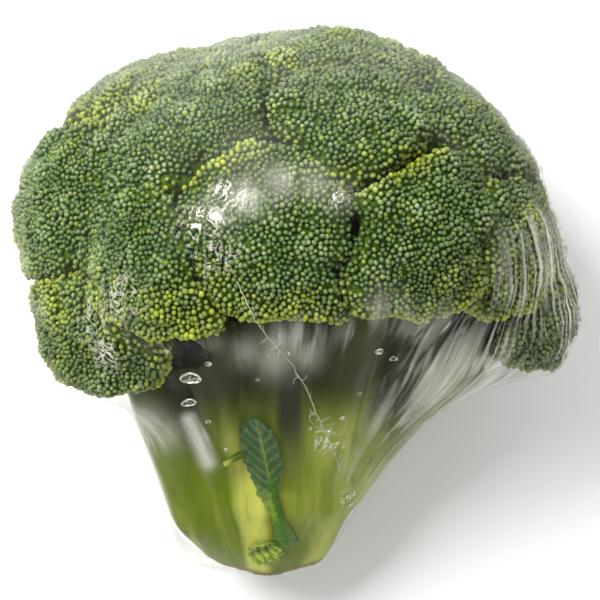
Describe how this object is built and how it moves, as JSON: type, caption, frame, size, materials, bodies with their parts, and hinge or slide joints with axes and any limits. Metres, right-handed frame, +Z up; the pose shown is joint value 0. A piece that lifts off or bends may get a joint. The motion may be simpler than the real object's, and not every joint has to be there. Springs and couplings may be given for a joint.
{
  "type": "broccoli head",
  "caption": "Broccoli head with a domed crown of bud clusters on a short flaring stalk, wrapped in clear shrink film and lying on its side.",
  "frame": {"origin": "centre of the bounding box at its base, on the surface the head lies on", "axes": "+Z up from the surface, +Y from the stalk's cut end towards the crown, +X to the right seen from above"},
  "size_m": [0.1668, 0.1654, 0.1343],
  "materials": {
    "stalk": "smooth waxy stalk flesh, pale yellow-green",
    "branch": "smooth waxy branch flesh, mid green",
    "buds": "matt, closely beaded flower buds, blue-green",
    "leaf": "waxy satin leaf, blue-green",
    "film": "clear glossy shrink film with fine wrinkles"
  },
  "bodies": {
    "root": {"branch_back_high_left": "branch", "branch_back_high_right": "branch", "branch_back_left": "branch", "branch_back_rest_left": "branch", "branch_back_rest_right": "branch", "branch_back_right": "branch", "branch_front_left": "branch", "branch_front_middle": "branch", "branch_front_right": "branch", "branch_left_edge": "branch", "branch_left_high": "branch", "branch_left_low": "branch", "branch_right_high": "branch", "branch_right_low": "branch", "branch_right_middle": "branch", "branch_top_front_left": "branch", "branch_top_front_right": "branch", "branch_top_middle": "branch", "film_wrap": "film", "head_back_high_left": "buds", "head_back_high_right": "buds", "head_back_left": "buds", "head_back_rest_left": "buds", "head_back_rest_right": "buds", "head_back_right": "buds", "head_front_left": "buds", "head_front_middle": "buds", "head_front_right": "buds", "head_left_edge": "buds", "head_left_high": "buds", "head_left_low": "buds", "head_right_high": "buds", "head_right_low": "buds", "head_right_middle": "buds", "head_top_front_left": "buds", "head_top_front_right": "buds", "head_top_middle": "buds", "leaf_base": "leaf", "leaf_front": "leaf", "stalk": "stalk"}
  },
  "joints": []
}
